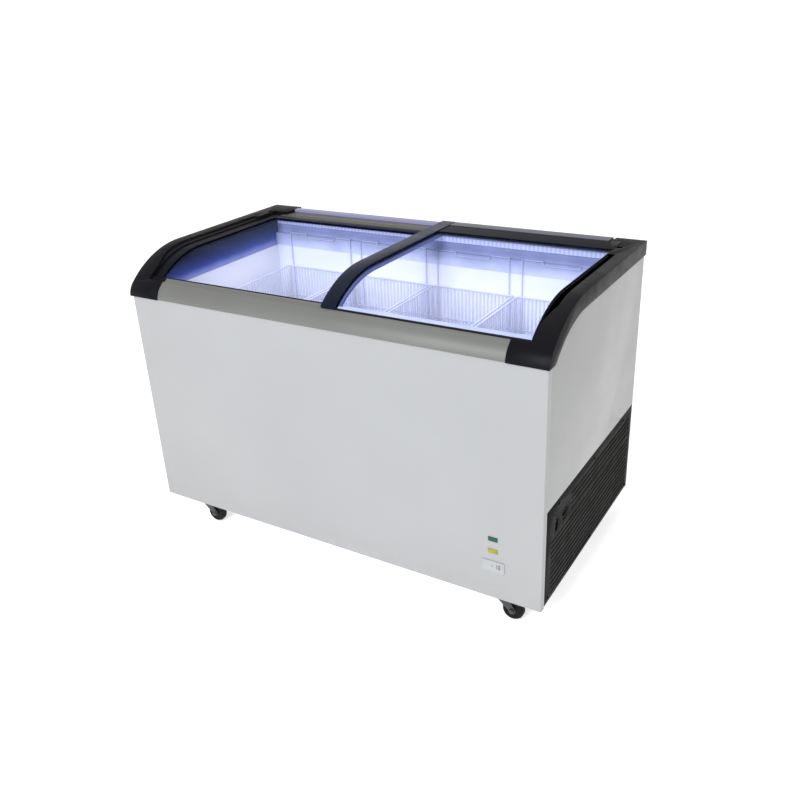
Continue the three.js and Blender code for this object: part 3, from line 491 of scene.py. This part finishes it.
def lit_lens(name, color, glow):
    """A ribbed pilot-lamp lens that glows faintly."""
    g = finish(name, color, 0.22, cloud=60.0, vary=0.12, grain=700.0, depth=0.00006)
    g.shader.inputs["Emission Color"].default_value = (*color, 1.0)
    g.set(Emission_Strength=glow, Coat_Weight=0.15, Specular_IOR_Level=0.3)
    return g.material


def light_strip():
    """A frosted diffuser with the rows of diodes behind it just showing."""
    g = Graph("light_strip")
    wave = g.node("ShaderNodeTexWave", bands_direction="X")
    wave.inputs["Scale"].default_value = 24.0
    g.join(g.place, wave.inputs["Vector"])
    tone = g.mix(wave.outputs["Fac"], (0.52, 0.55, 0.84), (0.72, 0.75, 0.96))
    g.join(tone, g.shader.inputs["Base Color"])
    g.join(tone, g.shader.inputs["Emission Color"])
    g.set(Emission_Strength=0.25, Roughness=0.4)
    g.bump(g.noise(500.0, 2.0), 0.00005)
    return g.material


def floor_material():
    """A plain pale floor that glows a little, so that it stays even far from the lights."""
    g = finish("studio_floor", (0.92, 0.92, 0.92), 0.6, cloud=0.8, vary=0.01, grain=200.0, depth=0.00002)
    g.shader.inputs["Emission Color"].default_value = (1.0, 1.0, 1.0, 1.0)
    g.set(Specular_IOR_Level=0.2, Emission_Strength=0.46)
    return g.material


looks = {
    "white_steel": painted_steel(),
    "frame_black": frame_black(),
    "black_plastic": finish(
        "black_plastic", (0.003, 0.0035, 0.007), 0.42, vary=0.2, grain=1500.0, depth=0.00007,
        wear=(0.06, 0.058, 0.06), worn=0.3, Specular_IOR_Level=0.1).material,
    # The handle's blue specular tint and blue sheen are a painted bluish reflection on the black plastic.
    "handle_black": finish(
        "handle_black", (0.004, 0.006, 0.014), 0.36, vary=0.2, grain=1500.0, depth=0.00006,
        wear=(0.10, 0.105, 0.13), worn=0.35,
        Specular_IOR_Level=0.2, Specular_Tint=(0.5, 0.66, 1.0, 1.0), Sheen_Weight=0.05,
        Sheen_Tint=(0.4, 0.5, 1.0, 1.0)).material,
    "middle_bar": middle_bar(),
    "grille": finish(
        "grille_black", (0.0045, 0.0044, 0.0036), 0.55, vary=0.25, grain=1400.0, depth=0.00008,
        wear=(0.05, 0.05, 0.045), worn=0.3, edge=0.0008, Specular_IOR_Level=0.05).material,
    "rail_grey": front_rail(),
    "rear_rail": rail_bands("rear_rail_bands", 0.3155, (0.13, 0.13, 0.105), (0.31, 0.31, 0.49), 0.4),
    "upper_lid_rail": rail_bands("upper_lid_rail", 0.306, (0.004, 0.005, 0.012), (0.16, 0.165, 0.20)),
    "lower_lid_rail": rail_bands("lower_lid_rail", 0.2545, (0.010, 0.013, 0.035), (0.13, 0.13, 0.105)),
    "track_aluminium": finish(
        "track_aluminium", (0.16, 0.16, 0.19), 0.3, metal=0.6, vary=0.08, grain=1100.0, depth=0.00005,
        stretch=BRUSHED_X, wear=(0.5, 0.5, 0.52), worn=0.4, Anisotropic=0.4).material,
    "foam": finish(
        "rigid_foam", (0.72, 0.60, 0.30), 0.9, cloud=25.0, vary=0.14, grain=380.0, depth=0.0008).material,
    "liner_white": tub_liner(),
    "collar_grey": collar_light_and_shade(),
    "lid_glass": lid_glass(),
    "seal_rubber": finish(
        "seal_rubber", (0.007, 0.008, 0.012), 0.6, cloud=30.0, vary=0.2, grain=1300.0, depth=0.00006,
        Specular_IOR_Level=0.2).material,
    "white_wire": finish(
        "coated_wire", (0.66, 0.67, 0.82), 0.4, cloud=25.0, vary=0.06, grain=600.0, depth=0.00006,
        wear=(0.52, 0.53, 0.62), worn=0.4, Specular_IOR_Level=0.3).material,
    "pale_plastic": finish(
        "pale_plastic", (0.37, 0.375, 0.385), 0.4, cloud=20.0, vary=0.05, grain=1400.0, depth=0.00004,
        wear=(0.30, 0.305, 0.31), worn=0.3).material,
    "light_diffuser": light_strip(),
    "green_lens": lit_lens("green_lens", (0.0008, 0.07, 0.037), 0.08),
    "yellow_lens": lit_lens("yellow_lens", (0.30, 0.24, 0.024), 0.05),
    "copper": finish(
        "copper_tube", (0.72, 0.34, 0.17), 0.3, metal=0.95, cloud=18.0, vary=0.22, grain=500.0, depth=0.00006,
        wear=(0.35, 0.22, 0.15), worn=0.5).material,
    "compressor_black": finish(
        "compressor_paint", (0.014, 0.014, 0.016), 0.38, cloud=14.0, vary=0.3, grain=420.0, depth=0.0001,
        wear=(0.2, 0.19, 0.18), worn=0.5).material,
    "zinc_steel": finish(
        "zinc_steel", (0.50, 0.51, 0.53), 0.36, metal=0.9, cloud=32.0, vary=0.14, grain=500.0, depth=0.00008,
        wear=(0.3, 0.28, 0.26), worn=0.4).material,
    "caster_steel": finish(
        "caster_steel", (0.055, 0.055, 0.058), 0.42, metal=0.5, cloud=45.0, vary=0.16, grain=700.0,
        depth=0.00008, wear=(0.12, 0.10, 0.09), worn=0.5, edge=0.001).material,
    "wheel_rubber": finish(
        "wheel_rubber", (0.006, 0.006, 0.0065), 0.55, cloud=60.0, vary=0.3, grain=900.0, depth=0.0002,
        wear=(0.05, 0.05, 0.048), worn=0.7, edge=0.002, Specular_IOR_Level=0.15).material,
    "marking": finish("display_marking", (0.06, 0.07, 0.08), 0.4, cloud=80.0, vary=0.15).material,
}


# ---------------------------------------------------------------- CAD nodes that stay
def smoothing_group():
    """Geometry nodes that drop the imported normals and smooth all but the sharp edges."""
    group = bpy.data.node_groups.new("smooth_by_angle", "GeometryNodeTree")
    group.interface.new_socket("Geometry", in_out="INPUT", socket_type="NodeSocketGeometry")
    group.interface.new_socket("Geometry", in_out="OUTPUT", socket_type="NodeSocketGeometry")
    start = group.nodes.new("NodeGroupInput")
    end = group.nodes.new("NodeGroupOutput")
    remove = group.nodes.new("GeometryNodeRemoveAttribute")
    remove.inputs["Name"].default_value = "custom_normal"
    smooth = group.nodes.new("GeometryNodeSetShadeSmooth")
    smooth.domain = "FACE"
    smooth.inputs["Shade Smooth"].default_value = True
    crease = group.nodes.new("GeometryNodeSetShadeSmooth")
    crease.domain = "EDGE"
    angle = group.nodes.new("GeometryNodeInputMeshEdgeAngle")
    compare = group.nodes.new("ShaderNodeMath")
    compare.operation = "LESS_THAN"
    compare.inputs[1].default_value = SHARP
    links = group.links
    links.new(start.outputs[0], remove.inputs["Geometry"])
    links.new(remove.outputs["Geometry"], smooth.inputs["Geometry"])
    links.new(smooth.outputs["Geometry"], crease.inputs["Geometry"])
    links.new(angle.outputs["Unsigned Angle"], compare.inputs[0])
    links.new(compare.outputs["Value"], crease.inputs["Shade Smooth"])
    links.new(crease.outputs["Geometry"], end.inputs[0])
    return group


smoothing = smoothing_group()


def soften(name, look, width):
    """Gives a CAD node its material, and rounds its edges with modifiers that leave its own mesh alone."""
    obj = nodes[name]
    obj.data.materials.clear()
    obj.data.materials.append(looks[look])
    weld = obj.modifiers.new("weld", "WELD")
    weld.merge_threshold = 0.00001
    if width:
        flatten = obj.modifiers.new("flatten", "DECIMATE")
        flatten.decimate_type = "DISSOLVE"
        flatten.angle_limit = math.radians(0.6)
        bevel = obj.modifiers.new("round_edges", "BEVEL")
        bevel.width = width
        bevel.segments = 2
        bevel.limit_method = "ANGLE"
        bevel.angle_limit = math.radians(35)
        bevel.use_clamp_overlap = True
    smooth = obj.modifiers.new("smooth", "NODES")
    smooth.node_group = smoothing


CASTERS = [f"{end}_{side}_caster" for end in ("front", "rear") for side in ("left", "right")]
# Each CAD node with its look and the radius of its rounded edges in metres.
kept = {
    "front_panel": ("white_steel", 0.0),
    "left_side_panel": ("white_steel", 0.0004),
    "right_side_panel": ("white_steel", 0.0004),
    "rear_panel": ("white_steel", 0.0004),
    "base_plate": ("zinc_steel", 0.0),
    "foam_insulation": ("foam", 0.0),
    "evaporator_coil": ("copper", 0.001),
    "inner_liner": ("liner_white", 0.0),
    "throat_collar": ("collar_grey", 0.0015),
    "front_rail": ("rail_grey", 0.0015),
    "rear_rail": ("rear_rail", 0.001),
    "rear_track": ("track_aluminium", 0.0003),
    "right_side_frame": ("frame_black", 0.0025),
    "left_side_frame": ("frame_black", 0.0025),
    "led_light": ("light_diffuser", 0.001),
    "right_lid_handle_bar": ("handle_black", 0.0018),
    "right_lid_edge_trim": ("seal_rubber", 0.0008),
    "right_lid_front_seal": ("seal_rubber", 0.001),
    "right_lid_rear_rail": ("upper_lid_rail", 0.0006),
    "left_lid_end_bar": ("black_plastic", 0.001),
    "left_lid_middle_bar": ("middle_bar", 0.001),
    "left_lid_front_seal": ("seal_rubber", 0.0008),
    "left_lid_rear_rail": ("lower_lid_rail", 0.0008),
    "side_grille": ("grille", 0.0004),
    "thermostat_knob": ("grille", 0.0008),
    "thermostat_body": ("pale_plastic", 0.0008),
    "power_switch": ("black_plastic", 0.0005),
    "green_lamp": ("green_lens", 0.0012),
    "yellow_lamp": ("yellow_lens", 0.0012),
    "temperature_display": ("pale_plastic", 0.0006),
    "compressor": ("compressor_black", 0.001),
    "condenser": ("zinc_steel", 0.0),
    "fan_shroud": ("zinc_steel", 0.0004),
    "fan_blades": ("compressor_black", 0.0004),
    "fan_motor": ("compressor_black", 0.001),
    "filter_drier": ("copper", 0.0006),
    "cord_inlet": ("black_plastic", 0.0004),
}
for caster in CASTERS:
    kept[f"{caster}_plate"] = ("caster_steel", 0.0004)
    kept[f"{caster}_fork"] = ("caster_steel", 0.0005)
    kept[f"{caster}_wheel"] = ("wheel_rubber", 0.0012)
    kept[f"{caster}_axle"] = ("caster_steel", 0.0005)
for node_name, (look, width) in kept.items():
    soften(node_name, look, width)


# ---------------------------------------------------------------- glass
PANE_THICKNESS = 4
PANE_REAR = 600
PANES_MEET = 46  # x of both panes' inner edges, under the handle bar


def glass_pane(name, node, body, depth, xs, stop):
    """A curved pane finer than the CAD one, with ground edges, from the rear to an angle round the crown."""
    bm = bmesh.new()
    prism_x(bm, curved_strip(depth, depth + PANE_THICKNESS, stop, PANE_REAR), *xs)
    rim = [e for e in bm.edges if e.calc_face_angle(0) > math.radians(60)]
    bmesh.ops.bevel(bm, geom=rim, offset=0.0005, segments=1, affect="EDGES", clamp_overlap=True)
    obj = mesh_object(name, bm)
    return finish_piece(obj, body, "lid_glass", looks["lid_glass"], node)


glass_pane("right_pane", "right_lid_glass", "right_lid", 1, (PANES_MEET, 590.7), 38.75)
glass_pane("left_pane", "left_lid_glass", "left_lid", 13, (-572, PANES_MEET), 35.45)


# ---------------------------------------------------------------- baskets
BASKET_CENTRES = (-402, -121, 160, 441)
BASKET_HALF = 134
BASKET_FRONT = 76
BASKET_REAR = 600
BASKET_RIM = 608
BASKET_BASE = 402
BASKET_INSET = 10  # from each corner to the first fine wire
WIRE_PITCH = 12.2
HANGER_RADIUS = 2.0
POST = 120
GRIP = 56
REAR_LEDGE = (609, 718)  # y and z of the ledges that the baskets hang from
FRONT_LEDGE = (67, 690)


def basket_hanger(bm, centre, wall, ledge_y, ledge):
    """Two posts joined by a loop that lies on the ledge and drops in its middle to make a grip."""
    clearance = 0.3
    high = ledge + HANGER_RADIUS + clearance
    low = high - 9
    half = [
        (POST, wall, BASKET_BASE),
        (POST, wall, high),
        (POST, ledge_y, high),
        (GRIP, ledge_y, high),
        (GRIP, wall, high),
        (GRIP, wall, low),
    ]
    line = [(centre - x, y, z) for x, y, z in half] + [(centre + x, y, z) for x, y, z in reversed(half)]
    tube(bm, rounded_path([place(*p) for p in line], 4.4 * MM, 4), HANGER_RADIUS * MM, 8)


def basket_hoop(bm, centre, z, radius):
    """A closed rectangle of thick wire at one height, starting in the middle of a side."""
    west = centre - BASKET_HALF
    east = centre + BASKET_HALF
    line = [
        (centre, BASKET_FRONT, z),
        (east, BASKET_FRONT, z),
        (east, BASKET_REAR, z),
        (west, BASKET_REAR, z),
        (west, BASKET_FRONT, z),
        (centre, BASKET_FRONT, z),
    ]
    path = rounded_path([place(*p) for p in line], 9 * MM, 4)
    tube(bm, path[:-1], radius * MM, 8, closed=True)


def basket_wires(bm, centre):
    """Fine wires bent in a U: down one wall, across the bottom, and up the other wall."""
    fine = 1.15
    inset = 1.4
    top = BASKET_RIM
    bottom = BASKET_BASE
    half = BASKET_HALF - BASKET_INSET
    count = round(2 * half / WIRE_PITCH)
    for i in range(count + 1):
        x = centre - half + 2 * half * i / count
        near = BASKET_FRONT + inset
        far = BASKET_REAR - inset
        line = [(x, near, top), (x, near, bottom), (x, far, bottom), (x, far, top)]
        tube(bm, rounded_path([place(*p) for p in line], 7 * MM, 2), fine * MM, 5)
    length = BASKET_REAR - BASKET_FRONT - 2 * BASKET_INSET
    count = round(length / WIRE_PITCH)
    for i in range(count + 1):
        y = BASKET_FRONT + BASKET_INSET + length * i / count
        west = centre - BASKET_HALF + inset
        east = centre + BASKET_HALF - inset
        line = [(west, y, top), (west, y, bottom + 2), (east, y, bottom + 2), (east, y, top)]
        tube(bm, rounded_path([place(*p) for p in line], 7 * MM, 2), fine * MM, 5)


def wire_basket(number, centre):
    """One basket: two hangers, three hoops and the fine wires."""
    bm = bmesh.new()
    thick = 2.4
    basket_hanger(bm, centre, BASKET_REAR, *REAR_LEDGE)
    basket_hanger(bm, centre, BASKET_FRONT, *FRONT_LEDGE)
    basket_hoop(bm, centre, BASKET_RIM, thick)
    basket_hoop(bm, centre, BASKET_BASE, thick)
    basket_hoop(bm, centre, (BASKET_RIM + BASKET_BASE) / 2, 1.6)
    basket_wires(bm, centre)
    obj = mesh_object(f"wire_basket_{number}", bm)
    return finish_piece(obj, f"basket_{number}", "white_wire", looks["white_wire"], f"basket_{number}")


for index, middle in enumerate(BASKET_CENTRES):
    wire_basket(index + 1, middle)


# ---------------------------------------------------------------- display digits
DIGIT_X = 508
DIGIT_Z = 94
DIGIT_WIDTH = 6.4
DIGIT_HEIGHT = 12
DIGIT_PITCH = 9.5
DIGIT_FACES = (-2.25, -1.9)  # y of the strokes' front and back, just proud of the display
SEGMENTS = {
    "1": "bc",
    "8": "abcdefg",
    "-": "g",
}


def digit_strokes(x, z, width, height):
    """The seven strokes of a digit as (x range, z range), its lower left corner at x, z."""
    t = width * 0.2
    middle = z + height / 2
    return {
        "a": ((x, x + width), (z + height - t, z + height)),
        "d": ((x, x + width), (z, z + t)),
        "g": ((x, x + width), (middle - t / 2, middle + t / 2)),
        "b": ((x + width - t, x + width), (middle, z + height)),
        "c": ((x + width - t, x + width), (z, middle)),
        "e": ((x, x + t), (z, middle)),
        "f": ((x, x + t), (middle, z + height)),
    }


def display_digits():
    """A plain temperature readout, minus eighteen, in seven-segment strokes."""
    for position, sign in enumerate("-18"):
        strokes = digit_strokes(DIGIT_X + position * DIGIT_PITCH, DIGIT_Z, DIGIT_WIDTH, DIGIT_HEIGHT)
        for stroke in SEGMENTS[sign]:
            xs, zs = strokes[stroke]
            bm = bmesh.new()
            box_mm(bm, xs, DIGIT_FACES, zs)
            obj = mesh_object(f"digit_{position}_{stroke}", bm)
            finish_piece(obj, "cabinet", "pale_plastic", looks["marking"])


display_digits()


# ---------------------------------------------------------------- studio
def add_floor():
    """A wide floor with a low rim at its far edge, so that it fills the view."""
    reach = 300
    rise = 0.05 * reach
    bm = bmesh.new()
    bmesh.ops.create_grid(bm, x_segments=8, y_segments=8, size=reach)
    rim = [edge for edge in bm.edges if edge.is_boundary]
    raised = bmesh.ops.extrude_edge_only(bm, edges=rim)["geom"]
    for corner in (item for item in raised if isinstance(item, bmesh.types.BMVert)):
        corner.co.z += rise
    obj = mesh_object("studio_floor", bm)
    obj.data.materials.append(floor_material())


def add_area(name, spot, target, size, power, color=(1, 1, 1), hidden=False):
    """A soft rectangular light at spot, aimed at target."""
    data = bpy.data.lights.new(name, "AREA")
    data.shape = "RECTANGLE"
    data.size, data.size_y = size
    data.energy = power
    data.color = color
    obj = bpy.data.objects.new(name, data)
    obj.location = spot
    obj.rotation_euler = (Vector(target) - Vector(spot)).to_track_quat("-Z", "Y").to_euler()
    obj.visible_camera = False
    obj.visible_glossy = not hidden
    bpy.context.scene.collection.objects.link(obj)


def add_world():
    world = bpy.data.worlds.new("studio")
    world.use_nodes = True
    bpy.context.scene.world = world
    background = world.node_tree.nodes["Background"]
    background.inputs["Color"].default_value = (1.0, 0.985, 0.965, 1.0)
    background.inputs["Strength"].default_value = 0.63


def add_camera():
    """The camera at the photo's viewing angle, a little rolled."""
    azimuth, elevation, roll = (math.radians(v) for v in (31.978, 25.321, -2.725))
    back = Vector((
        math.sin(azimuth) * math.cos(elevation),
        -math.cos(azimuth) * math.cos(elevation),
        math.sin(elevation),
    ))
    level = Vector((math.cos(azimuth), math.sin(azimuth), 0))
    upright = back.cross(level)
    right = level * math.cos(roll) + upright * math.sin(roll)
    up = upright * math.cos(roll) - level * math.sin(roll)
    matrix = Matrix((right, up, back)).transposed().to_4x4()
    matrix.translation = (1.2786, -1.984, 1.5157)
    data = bpy.data.cameras.new("camera")
    data.lens = 38.507
    data.sensor_width = 36
    obj = bpy.data.objects.new("camera", data)
    obj.matrix_world = matrix
    bpy.context.scene.collection.objects.link(obj)
    bpy.context.scene.camera = obj


add_floor()
add_world()
add_area("key", (0.1, -4.6, 3.0), (0, 0, 0.4), (1.6, 2.4), 185, (0.92, 0.965, 1.0))
add_area("top", (0.2, 0.4, 3.6), (0, 0, 0.8), (3.2, 2.6), 20)
add_area("tub_light", (0, 0.03, 0.79), (0, 0.03, 0.2), (1.1, 0.4), 1.5, (1.0, 0.985, 0.99), True)
add_camera()
bpy.context.scene.view_settings.view_transform = "Standard"
